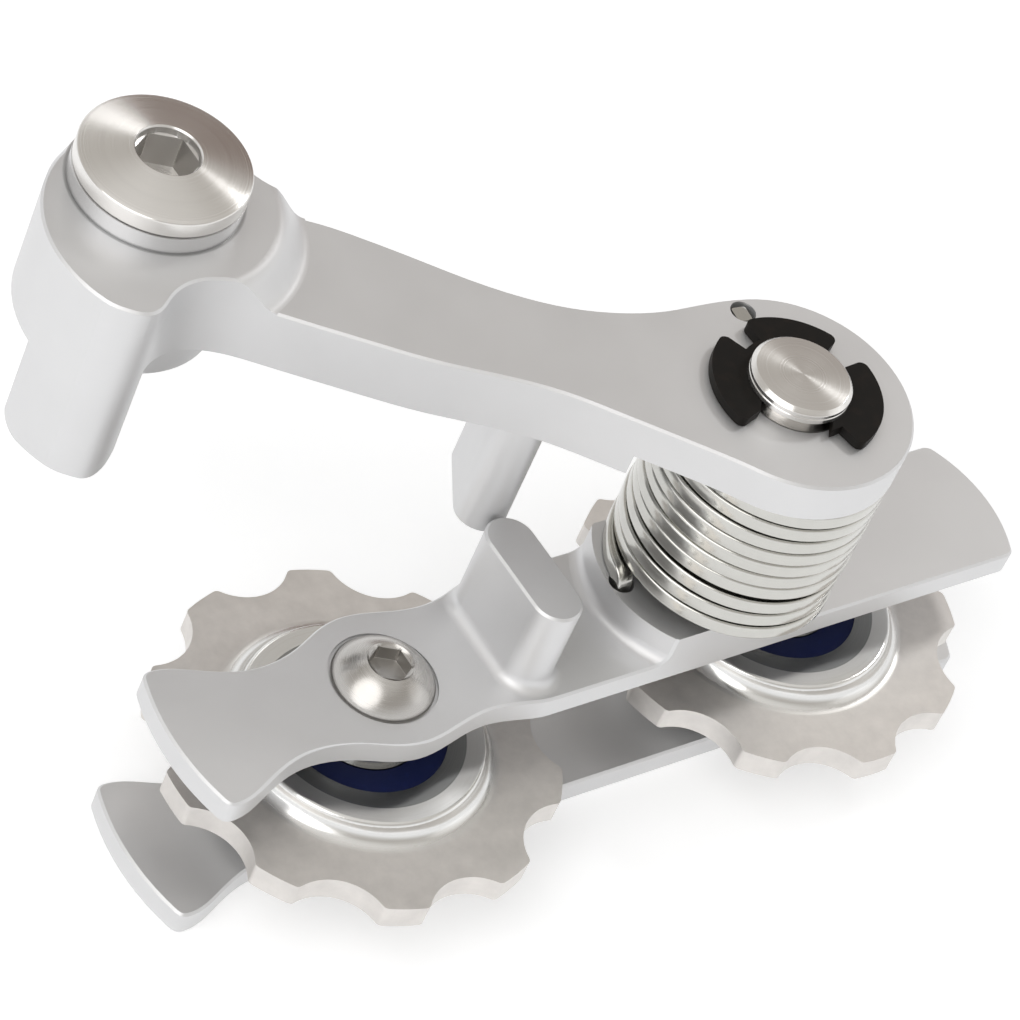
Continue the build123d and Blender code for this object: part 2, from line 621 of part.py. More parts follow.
def build():
    nodes = {
        "arm": arm(),
        "hanger_bolt": hanger_bolt(),
        "hanger_bolt_clip": lobed_clip(BOLT_SHANK_R, BOLT_CLIP_Z, Vector(0, 0), 5),
        "hanger_bolt_bush": bush(BOLT_SHANK_R, BOSS_BOTTOM_Z, RING_Z, Vector(0, 0)),
        "pivot_pin": pivot_pin(),
        "pivot_clip": lobed_clip(PIN_R, PIN_CLIP_Z, PIVOT, 0),
        "pivot_bush": bush(PIN_R, END_LOW_Z - COLLAR_H, ARM_TOP_Z - BUSH_LIP, PIVOT),
        "torsion_spring": torsion_spring(),
        "outer_cage_plate": outer_cage_plate(),
        "inner_cage_plate": inner_cage_plate(),
        "tension_wheel_bolt": tension_bolt(),
        "guide_wheel_bolt": guide_bolt(),
    }
    for name, point, phase in (("tension", TENSION, TENSION_PHASE), ("guide", GUIDE, GUIDE_PHASE)):
        nodes[name + "_wheel"] = wheel(point, phase)
        nodes[name + "_bearing_outer_ring"] = outer_ring(point)
        nodes[name + "_bearing_inner_ring"] = inner_ring(point)
        nodes[name + "_bearing_balls"] = ball_set(point)
        nodes[name + "_bearing_ball_cage"] = ball_cage(point)
        nodes[name + "_bearing_outer_seal"] = seal(point, 1)
        nodes[name + "_bearing_inner_seal"] = seal(point, -1)
        nodes[name + "_outer_spacer"] = spacer(point, 1)
        nodes[name + "_inner_spacer"] = spacer(point, -1)
    return nodes


for name, shape in build().items():
    export_step(shape, "parts/" + name + ".step")
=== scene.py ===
import json
import math

import bpy
import numpy as np
from mathutils import Matrix, Vector


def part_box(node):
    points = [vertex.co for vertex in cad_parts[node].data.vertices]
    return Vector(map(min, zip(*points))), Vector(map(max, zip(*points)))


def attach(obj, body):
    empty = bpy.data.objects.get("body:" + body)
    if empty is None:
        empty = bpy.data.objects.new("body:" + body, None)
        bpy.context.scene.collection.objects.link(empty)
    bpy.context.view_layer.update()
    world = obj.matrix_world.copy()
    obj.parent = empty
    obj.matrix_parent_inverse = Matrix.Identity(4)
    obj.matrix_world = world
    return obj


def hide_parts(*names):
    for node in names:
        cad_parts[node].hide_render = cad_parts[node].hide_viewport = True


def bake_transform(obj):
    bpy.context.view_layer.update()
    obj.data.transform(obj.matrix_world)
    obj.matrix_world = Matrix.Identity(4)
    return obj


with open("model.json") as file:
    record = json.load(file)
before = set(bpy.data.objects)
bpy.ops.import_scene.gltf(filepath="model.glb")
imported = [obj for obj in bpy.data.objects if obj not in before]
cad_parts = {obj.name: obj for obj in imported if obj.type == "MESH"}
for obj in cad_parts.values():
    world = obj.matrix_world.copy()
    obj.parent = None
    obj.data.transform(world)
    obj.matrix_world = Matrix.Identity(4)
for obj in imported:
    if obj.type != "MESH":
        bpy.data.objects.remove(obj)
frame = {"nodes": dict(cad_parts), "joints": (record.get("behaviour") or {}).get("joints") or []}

bl_info = {
    "name": "Chain tensioner finish",
    "version": (1, 0, 0),
    "blender": (4, 5, 0),
    "location": "3D View > Sidebar > Tensioner",
    "description": "Turned pieces, spring wire and metal finishes of a bicycle chain tensioner",
    "category": "Object",
}

MM = 0.001
TURN = 2 * math.pi
JOINTS = {joint["name"]: joint for joint in frame["joints"]}
HANGER = (0.0, 0.0, 0.0)
PIVOT = np.array(JOINTS["cage_pivot"]["pos_m"])
TENSION = np.array(JOINTS["tension_wheel_spin"]["pos_m"])
GUIDE = np.array(JOINTS["guide_wheel_spin"]["pos_m"])
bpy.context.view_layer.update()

# Points round a turned piece, and the bend past which an edge shows as an edge
AROUND = 192
SHARP_BEND = math.radians(38)

# The spring's slack is taken up at these turns from its foot, by these shares of the whole.
# The jump from 0.34 to 0.62 is the place that stands open.
SLACK_TURNS = (0, 1.9, 2.75, 3.45, 7.2)
SLACK_SHARES = (0, 0.28, 0.34, 0.62, 0.70, 1)
SPRING_GAP = 0.1 * MM

# The map on the wire: its name, and the length of wire that one unit stands for
WIRE_MAP = "wire"
WIRE_MAP_LENGTH = 10 * MM

# Radius and foot height of the smooth ring on the arm under the hanger bolt's head
ARM_RING = (9.0 * MM, 18.3 * MM)
WHEEL_HUB_RADIUS = 14.6 * MM

# Each lamp's name, its place from the part's middle and its width, in metres
PART_MIDDLE = Vector((0.042, -0.028, -0.005))
LAMPS = (
    ("key", (-0.55, -0.15, 0.55), 0.8),
    ("fill", (0.55, -0.35, 0.35), 0.45),
    ("left_window", (0.35, 0.66, 0.50), 0.16),
    ("right_window", (0.68, 0.13, 0.57), 0.12))

# Where the studio's far wall stands in reflections
FAR_WALL_WAY = (0.77, 0.605, 0.20)


def low(node):
    """A CAD node's lowest corner at rest."""
    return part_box(node)[0]


def high(node):
    """A CAD node's highest corner at rest."""
    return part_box(node)[1]


def heights(node):
    """A CAD node's lowest and highest height at rest, in millimetres."""
    return low(node)[2] / MM, high(node)[2] / MM


# Shapes


def unit(vector):
    """The vector at a length of one."""
    return vector / np.linalg.norm(vector)


def rounded(corners, steps=6):
    """Line through (radius, height, rounding) corners, in millimetres, returned in metres.

    Each corner gives way to an arc of its rounding radius that touches both its sides.
    The arc's points turn evenly from one touching point to the other about its centre.
    """
    corners = np.array(corners, float)
    line = [corners[:1, :2]]
    share = np.linspace(0, 1, steps)[:, None]
    for before, corner, after in zip(corners, corners[1:], corners[2:]):
        spot, size = corner[:2], corner[2]
        if size == 0:
            line.append(spot[None])
            continue
        back, ahead = unit(before[:2] - spot), unit(after[:2] - spot)
        half = math.acos(np.clip(back @ ahead, -1, 1)) / 2
        centre = spot + unit(back + ahead) * size / math.sin(half)
        first = spot + back * size / math.tan(half) - centre
        last = spot + ahead * size / math.tan(half) - centre
        turn = math.pi - 2 * half
        arc = (np.sin((1 - share) * turn) * first + np.sin(share * turn) * last) / math.sin(turn)
        line.append(centre + arc)
    line.append(corners[-1:, :2])
    return np.vstack(line) * MM


def grid_faces(rows, columns):
    """Quads of a grid of points that closes across its columns.

    Corner (i, j) joins (i, j + 1), (i + 1, j + 1) and (i + 1, j).
    """
    i = np.arange(rows - 1)[:, None]
    j = np.arange(columns)[None]
    beside = (j + 1) % columns
    quads = [i * columns + j, i * columns + beside,
             (i + 1) * columns + beside, (i + 1) * columns + j]
    return np.stack(np.broadcast_arrays(*quads), -1).reshape(-1, 4)


def solid(name, points, faces, uv=None):
    """Mesh object of points and faces, with every face turned to the outside.

    The signed volume is the sum of the corner triple products; below zero, the faces turn over.
    """
    corners = points[faces]
    volume = np.einsum("ij,ij->", corners[:, 0], np.cross(corners[:, 1], corners[:, 2]))
    volume += np.einsum("ij,ij->", corners[:, 0], np.cross(corners[:, 2], corners[:, 3]))
    if volume < 0:
        faces = faces[:, ::-1]
    lists = [list(dict.fromkeys(face)) for face in faces.tolist()]
    mesh = bpy.data.meshes.new(name)
    mesh.from_pydata(points.tolist(), [], lists)
    if uv is not None:
        layer = mesh.uv_layers.new(name=WIRE_MAP)
        corner = np.zeros(len(mesh.loops), np.int32)
        mesh.loops.foreach_get("vertex_index", corner)
        layer.data.foreach_set("uv", uv[corner].astype(np.float32).ravel())
    mesh.shade_smooth()
    mesh.set_sharp_from_angle(angle=SHARP_BEND)
    mesh.validate()
    piece = bpy.data.objects.new(name, mesh)
    bpy.context.scene.collection.objects.link(piece)
    return piece


def lathe(name, profile, axis, six=None, thread=None):
    """Turned piece: a profile of (radius, height) rows carried round an upright axis.

    A point is (axis x + radius cos a, axis y + radius sin a, height). On rows with a share of
    six, the radius grows by that share of 1 / cos(angle from the nearest flat) - 1, which is
    a hexagon. On threaded rows it loses the depth times a ridge wave of
    height / pitch - a / one turn, which is flat on the crest. The first and last rows lie on
    the axis, and each closes to one point.
    """
    radius, height = profile[:, :1], profile[:, 1:]
    angle = np.linspace(0, TURN, AROUND, endpoint=False)[None]
    spread = radius + 0 * angle
    if six is not None:
        flat = (angle + math.pi / 6) % (math.pi / 3) - math.pi / 6
        spread = spread * (1 + six[:, None] * (1 / np.cos(flat) - 1))
    if thread is not None:
        depth, pitch = thread
        steepness, crest = 2.6, 0.25
        wave = (height / pitch - angle / TURN) % 1.0
        ridge = np.clip(np.abs(wave - 0.5) * steepness - crest, 0, 1)
        spread = spread - depth[:, None] * ridge
    points = np.stack([axis[0] + spread * np.cos(angle), axis[1] + spread * np.sin(angle),
                       height + 0 * angle], -1).reshape(-1, 3)
    points[:AROUND] = points[:AROUND].mean(0)
    points[-AROUND:] = points[-AROUND:].mean(0)
    faces = grid_faces(len(profile), AROUND)
    faces = np.where(faces < AROUND, 0, faces)
    faces = np.where(faces >= len(points) - AROUND, len(points) - 1, faces)
    used = np.unique(faces)
    order = np.zeros(len(points), int)
    order[used] = np.arange(len(used))
    return solid(name, points[used], order[faces])


def socket_rows(profile, radius, floor):
    """1 on the rows of a hexagon socket of this radius and floor height, in millimetres."""
    inside = (profile[:, 0] < (radius + 0.1) * MM) & (profile[:, 1] > (floor - 0.2) * MM)
    return inside.astype(float)


def hanger_bolt_profile(sizes):
    """Hanger bolt: its rows from tip to socket floor, its socket's rows and its thread's depths.

    The thread has twelve rows to a pitch. Its depth fades to nothing over 0.7 mm at both ends.
    """
    top = heights("hanger_bolt")[1]
    clip_low, clip_high = heights("hanger_bolt_clip")
    head, thread, key = (
        size / MM for size in (sizes.head_radius, sizes.thread_radius, sizes.socket_radius))
    shank, groove, tip, lead = 6.0, 4.9, -10.0, 1.0
    under, rim, floor = top - 3.15, top - 1.1, top - 5.0
    profile = rounded([
        (0, tip, 0), (thread - lead, tip, 0.1), (thread, tip + lead, 0.1), (thread, 0, 0),
        (shank, 0, 0.1), (shank, clip_low, 0), (groove, clip_low, 0), (groove, clip_high, 0),
        (shank, clip_high, 0), (shank, under, 0), (head, under, 0.35), (head, rim - 0.1, 0.25),
        (head - 0.45, rim + 0.02, 0.12), (key + 0.5, top, 0.06), (key + 0.35, top - 0.2, 0.03),
        (key + 0.3, top - 0.9, 0), (key, top - 1.0, 0.05), (key, floor + 0.1, 0.05),
        (0, floor, 0)])
    rows = np.arange(tip + 1.1, -0.9, sizes.thread_pitch / MM / 12) * MM
    first = np.flatnonzero(profile[:, 1] > rows[0])[0]
    threaded = np.stack([0 * rows + thread * MM, rows], 1)
    profile = np.vstack([profile[:first], threaded, profile[first:]])
    fade = np.minimum(1, np.minimum(rows - rows[0], rows[-1] - rows) / (0.7 * MM))
    depth = np.zeros(len(profile))
    depth[first:first + len(rows)] = sizes.thread_depth * fade
    return profile, socket_rows(profile, key, floor), depth


def pivot_pin_profile(sizes, seat):
    """Pivot pin: a spigot in the outer plate, the clip's groove, a ring line and a chamfer."""
    bottom, top = heights("pivot_pin")
    clip_low, clip_high = heights("pivot_clip")
    pin, spigot, groove = sizes.pin_radius / MM, 4.5, 4.35
    line, line_depth, chamfer = top - 0.9, 0.11, 0.42
    return rounded([
        (0, bottom, 0), (spigot, bottom, 0.1), (spigot, seat, 0), (pin, seat, 0.1),
        (pin, clip_low, 0), (groove, clip_low, 0), (groove, clip_high, 0), (pin, clip_high, 0.1),
        (pin, line - 0.1, 0.04), (pin - line_depth, line, 0.04), (pin, line + 0.1, 0.04),
        (pin, top - chamfer, 0.12), (pin - 0.45, top, 0.1), (0, top, 0)])


def dome(foot, head, steps=14):
    """Corners of a dome between two (radius, height) ends, which is part of a sphere.

    The sphere's middle is on the axis, at the height that is equally far from both ends. The
    radius falls evenly, and the height is middle + sqrt(sphere^2 - radius^2).
    """
    (wide, first), (narrow, last) = foot, head
    middle = (narrow**2 + last**2 - wide**2 - first**2) / (2 * (last - first))
    radius = np.linspace(wide, narrow, steps)
    height = middle + np.sqrt(wide**2 + (first - middle) ** 2 - radius**2)
    return [(r, h, 0) for r, h in zip(radius.tolist(), height.tolist())]


def button_bolt_profile(sizes, tip, top):
    """Button head bolt, head upwards: its rows from tip to socket floor, and its socket's rows."""
    head, key = sizes.button_radius / MM, sizes.button_socket_radius / MM
    shank, lead = 3.0, 0.6
    bearing, floor = top - 3.1, top - 2.0
    rim = bearing + 0.45
    profile = rounded([
        (0, tip, 0), (shank - lead, tip, 0.1), (shank, tip + lead, 0.1), (shank, bearing, 0),
        (head, bearing, 0.12), *dome((head, rim), (key + 0.5, top)), (key + 0.3, top - 0.2, 0),
        (key, top - 0.32, 0.03), (key, floor + 0.05, 0.05), (0, floor, 0)])
    return profile, socket_rows(profile, key, floor)


def coil_line(sizes):
    """Middle line of the spring's wire, with each point's angle round the pivot.

    The line runs as (distance round, height): up the lower tang, through a quarter arc, along
    the coils, through a second arc and up the upper tang. It is wrapped on the cylinder with
    angle = lower tang's angle - distance / coil radius. A turn climbs by the wire's thickness
    plus its part of the slack. Between the tangs the turns lie off the pivot's axis by the
    lean times a smooth step that starts at each tang, and the lean sways by a tenth along them.
    """
    bend, radius, thickness = sizes.wire_bend, sizes.coil_radius, sizes.wire_thickness
    foot, rise = sizes.seat_height - sizes.tang_depth, sizes.tang_rise
    start = sizes.seat_height + thickness / 2 + SPRING_GAP
    stop = sizes.ceiling_height - thickness / 2 - SPRING_GAP
    length = radius * (TURN * sizes.turns + sizes.low_tang - sizes.high_tang)
    round_turns = length / (TURN * radius)

    run = np.linspace(bend, length - bend, sizes.turns * 96)
    share = (run - bend) / (length - 2 * bend)
    slack = stop - start - round_turns * thickness
    loose = np.interp(share * round_turns, (*SLACK_TURNS, round_turns), SLACK_SHARES)
    climb = start + (stop - start - slack) * share + slack * loose

    quarter = np.linspace(0, math.pi / 2, 9)[1:]
    tail = np.linspace(0, 1, 5)[:-1]
    height = np.concatenate([
        foot + (start - bend - foot) * tail, [start - bend], start - bend + bend * np.sin(quarter),
        climb[1:], stop + bend * (1 - np.cos(quarter)), stop + bend + (rise - bend) * tail[1:],
        [stop + rise]])
    way = np.concatenate([
        0 * tail, [0], bend * (1 - np.cos(quarter)), run[1:],
        length - bend + bend * np.sin(quarter), length + 0 * tail[1:], [length]])
    angle = sizes.low_tang - way / radius
    line = np.stack([
        PIVOT[0] + radius * np.cos(angle), PIVOT[1] + radius * np.sin(angle), height], 1)

    settling_turns, sway, sway_turn = 0.16, 0.10, 23.0
    ease = np.clip(np.minimum(way, length - way) / (settling_turns * TURN * radius), 0, 1)
    ease = ease * ease * (3 - 2 * ease)
    lean = ease * (1 + sway * np.sin(way / length * sway_turn))
    line[:, :2] += lean[:, None] * np.array(sizes.lean)[None]
    return line, angle


def oblong(width, thickness, corner, steps=5):
    """Section of the wire: four quarter circles of the corner's radius and the sides between."""
    turn = np.linspace(0, math.pi / 2, steps)
    quadrant = np.concatenate([turn + k * math.pi / 2 for k in range(4)])
    signs = np.repeat([(1, 1), (-1, 1), (-1, -1), (1, -1)], steps, axis=0)
    across = signs[:, 0] * (width / 2 - corner) + corner * np.cos(quadrant)
    along = signs[:, 1] * (thickness / 2 - corner) + corner * np.sin(quadrant)
    return across, along


def wire_coil(name, sizes):
    """Torsion spring: the wire's section carried along the coil's middle line.

    A point is line + across x radial + along x side, where radial points from the pivot's
    axis and side = tangent x radial. A fan of faces about the line's end closes each end.
    The map is (share of the way round the section, distance along the wire).
    """
    line, angle = coil_line(sizes)
    across, along = oblong(sizes.wire_width, sizes.wire_thickness, sizes.wire_corner)
    tangent = np.gradient(line, axis=0)
    tangent /= np.linalg.norm(tangent, axis=1)[:, None]
    radial = np.stack([np.cos(angle), np.sin(angle), 0 * angle], 1)
    side = np.cross(tangent, radial)
    side /= np.linalg.norm(side, axis=1)[:, None]
    points = (line[:, None] + across[None, :, None] * radial[:, None]
              + along[None, :, None] * side[:, None])

    rows, columns = points.shape[:2]
    ends = np.arange(columns)
    beside = (ends + 1) % columns
    last = (rows - 1) * columns
    foot, head = rows * columns, rows * columns + 1
    faces = np.vstack([
        grid_faces(rows, columns),
        np.stack([0 * ends + foot, beside, ends, ends], 1),
        np.stack([0 * ends + head, last + ends, last + beside, last + beside], 1)])

    steps = np.linalg.norm(np.diff(line, axis=0), axis=1)
    flow = np.concatenate([[0], np.cumsum(steps)]) / WIRE_MAP_LENGTH
    girth = np.linspace(0, 1, columns, endpoint=False)
    uv = np.stack(np.broadcast_arrays(girth[None], flow[:, None]), -1).reshape(-1, 2)
    uv = np.vstack([uv, [[0.5, 0]], [[0.5, flow[-1]]]])
    points = np.vstack([points.reshape(-1, 3), line[:1], line[-1:]])
    return solid(name, points, faces, uv)


# Shader maths


class Number:
    """A number, colour or vector on a socket. Arithmetic on a number adds Math nodes."""

    def __init__(self, finish, socket):
        self.finish = finish
        self.socket = socket

    def math(self, operation, first, second=0.0, clamp=False):
        """A Math node on two numbers, either of which may be a link."""
        settings = {"operation": operation, "use_clamp": clamp}
        return self.finish.node("ShaderNodeMath", settings, {0: first, 1: second})

    def __add__(self, other):
        return self.math("ADD", self, other)

    __radd__ = __add__

    def __sub__(self, other):
        return self.math("SUBTRACT", self, other)

    def __rsub__(self, other):
        return self.math("SUBTRACT", other, self)

    def __mul__(self, other):
        return self.math("MULTIPLY", self, other)

    __rmul__ = __mul__

    def __pow__(self, other):
        return self.math("POWER", self, other)

    def held(self):
        """The number, held between 0 and 1."""
        return self.math("ADD", self, clamp=True)


class Finish:
    """A material's nodes, or the world's."""

    def __init__(self, name, owner=None):
        self.owner = owner or bpy.data.materials.new(name)
        self.owner.use_nodes = True
        self.tree = self.owner.node_tree
        self.tree.nodes.clear()

    def node(self, kind, settings=None, values=None, output=0):
        """Makes a node with its settings, its sockets' values or links, and gives an output."""
        made = self.tree.nodes.new(kind)
        for name, value in (settings or {}).items():
            setattr(made, name, value)
        for name, value in (values or {}).items():
            if isinstance(value, Number):
                self.tree.links.new(value.socket, made.inputs[name])
            else:
                made.inputs[name].default_value = value
        return Number(self, made.outputs[output])

    def place(self, centre=HANGER):
        """Object coordinates, measured from a centre."""
        here = self.node("ShaderNodeTexCoord", output=3)
        values = {"Vector": here, "Location": tuple(-c for c in centre)}
        return self.node("ShaderNodeMapping", {}, values)

    def noise(self, vector, size, detail=2.0, grain=0.5):
        """Soft noise from 0 to 1 whose lumps are about size across, in metres."""
        values = {"Vector": vector, "Scale": 1 / size, "Detail": detail, "Roughness": grain}
        return self.node("ShaderNodeTexNoise", {}, values)

    def parts(self, vector):
        """The x, y and z numbers of a vector."""
        first = self.node("ShaderNodeSeparateXYZ", {}, {"Vector": vector})
        split = first.socket.node
        return [Number(self, split.outputs[axis]) for axis in range(3)]

    def radius(self, vector):
        """Distance from the upright axis through the vector's zero."""
        x, y, _ = self.parts(vector)
        return (x * x + y * y) ** 0.5

    def rings(self, vector, size, detail=3.0):
        """Noise of the radius alone, as a turning tool leaves it."""
        settings = {"noise_dimensions": "1D"}
        values = {"W": self.radius(vector), "Scale": 1 / size, "Detail": detail}
        return self.node("ShaderNodeTexNoise", settings, values)

    def step(self, value, start, stop):
        """0 below start, 1 above stop, smooth between."""
        settings = {"interpolation_type": "SMOOTHSTEP"}
        values = {"Value": value, "From Min": start, "From Max": stop}
        return self.node("ShaderNodeMapRange", settings, values)

    def mixed(self, share, first, second):
        """Colour that goes from the first to the second."""
        values = {0: share, 6: four(first), 7: four(second)}
        return self.node("ShaderNodeMix", {"data_type": "RGBA"}, values, output=2)

    def toned(self, share, base, dark, light):
        """The base colour, from its dark to its light multiple."""
        return self.mixed(share, shade(base, dark), shade(base, light))

    def bump(self, height, depth, strength=0.5):
        """Normal of a surface raised by the height times the depth, in metres."""
        values = {"Height": height, "Distance": depth, "Strength": strength}
        return self.node("ShaderNodeBump", {}, values)

    def seen_rays(self):
        """1 on rays from the camera, on reflected rays and on rays through glass."""
        rays = self.node("ShaderNodeLightPath").socket.node
        names = ("Is Camera Ray", "Is Glossy Ray", "Is Transmission Ray")
        return [Number(self, rays.outputs[name]) for name in names]

    def surface(self, **values):
        """Ends the material in a Principled shader with these socket values."""
        sockets = {name.replace("_", " "): value for name, value in values.items()}
        self.end(self.node("ShaderNodeBsdfPrincipled", {}, sockets))
        return self.owner

    def end(self, shader, kind="ShaderNodeOutputMaterial"):
        """Joins the shader to the material's output, or the world's."""
        made = self.tree.nodes.new(kind)
        self.tree.links.new(shader.socket, made.inputs["Surface"])


def four(value):
    """Colour sockets take four numbers, or a link."""
    return value if isinstance(value, Number) else (*value, 1.0)


def shade(base, factor):
    """A colour times a number."""
    return tuple(min(channel * factor, 1.0) for channel in tuple(base))


def varied(rough, *noises):
    """A roughness that (noise, range) pairs move up and down by half of each range."""
    for noise, spread in noises:
        rough = rough + (noise - 0.5) * spread
    return rough


def blasted(name, base, rough, ring=None):
    """Bead-blasted, clear anodised aluminium: fine pits, faint clouds and a few handling marks.

    A ring of (radius, foot height) round the hanger bolt's axis is turned smooth, with a dark
    line of painted shade in the corner at its foot.
    """
    made = Finish(name)
    spot = made.place()
    pits = made.noise(spot, 0.16 * MM, 2.0)
    clouds = made.noise(spot, 9 * MM, 3.0)
    marks = made.step(made.noise(spot, 2.2 * MM, 4.0), 0.62, 0.78)
    tone = made.toned((clouds * 0.7 + pits * 0.3).held(), base, 0.93, 1.05)
    rough = varied(rough, (pits, 0.12), (clouds, 0.08)) - marks * 0.05
    if ring:
        radius, foot = ring
        out = made.radius(spot) - radius
        up = made.parts(spot)[2] - foot
        on_ring = 1 - made.step(out, 0.02 * MM, 0.2 * MM)
        smooth = made.step(up, -0.05 * MM, 0.1 * MM) * on_ring
        # painted shade: a dark line in the corner at the ring's foot, where shade falls
        beside = 1 - made.step(out, 0.12 * MM, 0.42 * MM)
        corner_shade = beside * (1 - made.step(up, 0.05 * MM, 0.3 * MM))
        corner_shade = corner_shade * made.step(out, -0.1 * MM, 0.0)
        tone = made.mixed(corner_shade * 0.55, tone, shade(base, 0.3))
        rough = rough - smooth * 0.26
    return made.surface(
        Base_Color=tone, Metallic=0.9, Roughness=rough, Normal=made.bump(pits, 0.004 * MM))


def turned(name, base, rough, centre, sheen=0.85, lines=0.16 * MM, socket=0.0):
    """Metal turned on a lathe: fine rings round the axis and streaks of light across them.

    The sheen's quarter turn lays the streaks along the radius. Inside the socket's radius the
    metal is broached and a little rougher, and its colour is darkened as painted shade of the
    recess.
    """
    made = Finish(name)
    spot = made.place(centre)
    rings = made.rings(spot, lines)
    bands = made.rings(spot, 1.9 * MM, 1.0)
    tone = made.toned((rings * 0.5 + bands * 0.5).held(), base, 0.9, 1.06)
    rough = varied(rough, (rings, 0.14), (bands, 0.05))
    if socket:
        # painted shade: the socket's inside is darker, as shade in the recess
        inside = 1 - made.step(made.radius(spot), socket - 0.1 * MM, socket + 0.1 * MM)
        tone = made.mixed(inside, tone, shade(base, 0.88))
        rough = rough + inside * 0.05
    return made.surface(
        Base_Color=tone, Metallic=1.0, Anisotropic=sheen, Anisotropic_Rotation=0.25,
        Roughness=rough, Normal=made.bump(rings, 0.0016 * MM, 0.6))


def wheel_metal(name, finish, centre):
    """Toothed wheel: mottled matte web and teeth, with a brighter turned hub ring."""
    made = Finish(name)
    spot = made.place(centre)
    pits = made.noise(spot, 0.2 * MM, 3.0, 0.65)
    mottle = made.noise(spot, 2.6 * MM, 5.0, 0.6)
    rings = made.rings(spot, 0.25 * MM)
    edge = WHEEL_HUB_RADIUS
    outside = made.step(made.radius(spot), edge - 0.5 * MM, edge + 0.9 * MM)
    web = made.toned((mottle * 1.6 - 0.3).held(), finish.wheel_face, 0.88, 1.1)
    hub = made.toned(rings, finish.wheel_hub, 0.92, 1.05)
    height = outside * pits * 0.8 + (1 - outside) * rings * 0.35
    rough = finish.wheel_rough * outside + finish.wheel_hub_rough * (1 - outside)
    return made.surface(
        Base_Color=made.mixed(outside, hub, web), Metallic=1.0,
        Roughness=varied(rough, (mottle, 0.16)), Normal=made.bump(height, 0.005 * MM))


def drawn_wire(name, base, rough):
    """Bright plated wire with drawing lines along it, which follow its own UV map."""
    made = Finish(name)
    around, along, _ = made.parts(made.node("ShaderNodeUVMap", {"uv_map": WIRE_MAP}))
    line_spot = made.node("ShaderNodeCombineXYZ", {}, {"X": around * 38.0, "Y": along * 0.9})
    lines = made.node("ShaderNodeTexNoise", {}, {"Vector": line_spot, "Scale": 1.0, "Detail": 3.0})
    stains = made.noise(made.place(), 1.6 * MM, 3.0)
    return made.surface(
        Base_Color=made.toned((lines * 0.6 + stains * 0.4).held(), base, 0.84, 1.08),
        Metallic=1.0, Roughness=varied(rough, (lines, 0.12), (stains, 0.1)),
        Normal=made.bump(lines, 0.003 * MM))


def ground_steel(name, base, rough, centre):
    """Ground bearing steel with close rings and a light oil film."""
    made = Finish(name)
    spot = made.place(centre)
    rings = made.rings(spot, 0.12 * MM)
    film = made.noise(spot, 3 * MM, 2.0)
    return made.surface(
        Base_Color=made.toned(rings, base, 0.8, 1.15), Metallic=1.0,
        Roughness=varied(rough, (rings, 0.1), (film, 0.1)), Normal=made.bump(rings, 0.001 * MM))


def moulded(name, base, rough, centre, ribs=0.0):
    """Moulded rubber or nylon: a fine grain and a little dust, with faint rings on a seal."""
    made = Finish(name)
    spot = made.place(centre)
    grain = made.noise(spot, 0.18 * MM, 3.0)
    dust = made.step(made.noise(spot, 1.1 * MM, 4.0), 0.55, 0.8)
    height = grain * 0.4
    if ribs:
        height = height + made.rings(spot, 0.9 * MM, 1.0) * ribs
    return made.surface(
        Base_Color=made.toned(dust * 0.35, base, 1.0, 1.9), Metallic=0.0,
        Specular_IOR_Level=0.2, Roughness=varied(rough, (grain, 0.15)) + dust * 0.1,
        Normal=made.bump(height, 0.02 * MM))


def black_oxide(name, base, worn, rough):
    """Black phosphated spring steel: matte, with brown in its worn places."""
    made = Finish(name)
    spot = made.place()
    crystals = made.noise(spot, 0.12 * MM, 4.0, 0.7)
    patches = made.step(made.noise(spot, 1.5 * MM, 3.0), 0.45, 0.75)
    return made.surface(
        Base_Color=made.mixed(patches * 0.5, base, worn), Metallic=0.0,
        Specular_IOR_Level=0.15, Roughness=varied(rough, (crystals, 0.2)),
        Normal=made.bump(crystals, 0.006 * MM, 0.6))


def cover(material, *nodes):
    """Puts a material on CAD nodes."""
    for node in nodes:
        mesh = frame["nodes"][node].data
        mesh.materials.clear()
        mesh.materials.append(material)


def place_piece(piece, material, body, slot, *nodes):
    """Gives a new piece its material and body, and lets it stand for its CAD nodes. Its slot is
    not used.

    A piece between two bodies has none here.
    """
    piece.data.materials.append(material)
    if body:
        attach(piece, body)
    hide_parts(*nodes)


# Settings


def distance(name, description, default):
    """A length the user can change, in metres."""
    return bpy.props.FloatProperty(
        name=name, description=description, default=default, subtype="DISTANCE", unit="LENGTH")


def direction(name, description, degrees):
    """An angle the user can change, given in degrees."""
    return bpy.props.FloatProperty(
        name=name, description=description, default=math.radians(degrees), subtype="ANGLE",
        unit="ROTATION")


def tint(name, description, default):
    """A colour the user can change."""
    return bpy.props.FloatVectorProperty(
        name=name, description=description, default=default, subtype="COLOR", min=0.0, max=1.0)


def fraction(name, description, default):
    """A number from 0 to 1 the user can change."""
    return bpy.props.FloatProperty(
        name=name, description=description, default=default, subtype="FACTOR", min=0.0, max=1.0)


def power(name, description, default):
    """A lamp's power the user can change, in watts."""
    return bpy.props.FloatProperty(
        name=name, description=description, default=default, unit="POWER")


